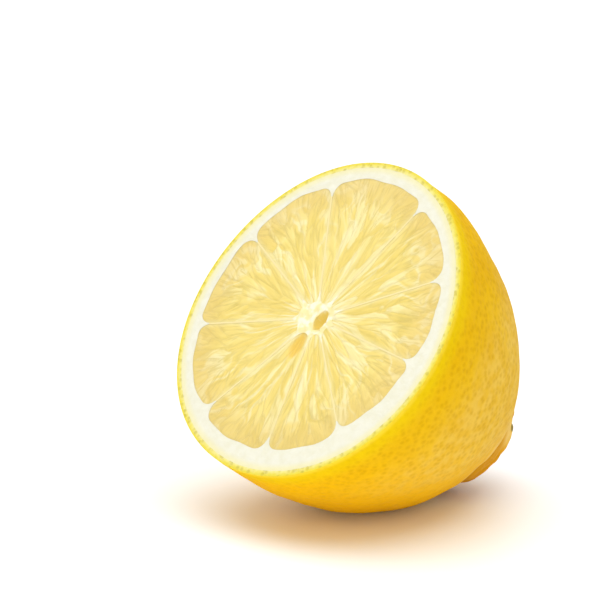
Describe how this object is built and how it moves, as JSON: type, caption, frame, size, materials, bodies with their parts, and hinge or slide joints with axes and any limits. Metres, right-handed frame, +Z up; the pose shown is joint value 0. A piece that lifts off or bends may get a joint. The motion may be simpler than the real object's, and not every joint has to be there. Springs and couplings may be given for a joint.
{
  "type": "half lemon",
  "caption": "Half a lemon cut across the middle, lying on its belly with the juicy cut face looking up and forward.",
  "frame": {"origin": "bottom centre of the part's box, on the surface it lies on", "axes": "+Z up; the cut face looks towards -Y and up, and the stem end points to +Y and down; +X is to the right of someone facing the cut"},
  "size_m": [0.062, 0.0626, 0.0621],
  "materials": {
    "zest": "waxy lemon skin with fine pits, half gloss",
    "pith": "soft white pith and membranes, matt and slightly moist",
    "pulp": "wet, translucent pale yellow juice sacs",
    "calyx": "dry olive-brown stem button"
  },
  "bodies": {
    "root": {"rind": "zest", "pith": "pith", "calyx": "calyx", "pulp_1": "pulp", "pulp_2": "pulp", "pulp_3": "pulp", "pulp_4": "pulp", "pulp_5": "pulp", "pulp_6": "pulp", "pulp_7": "pulp", "pulp_8": "pulp", "pulp_9": "pulp"}
  },
  "joints": []
}
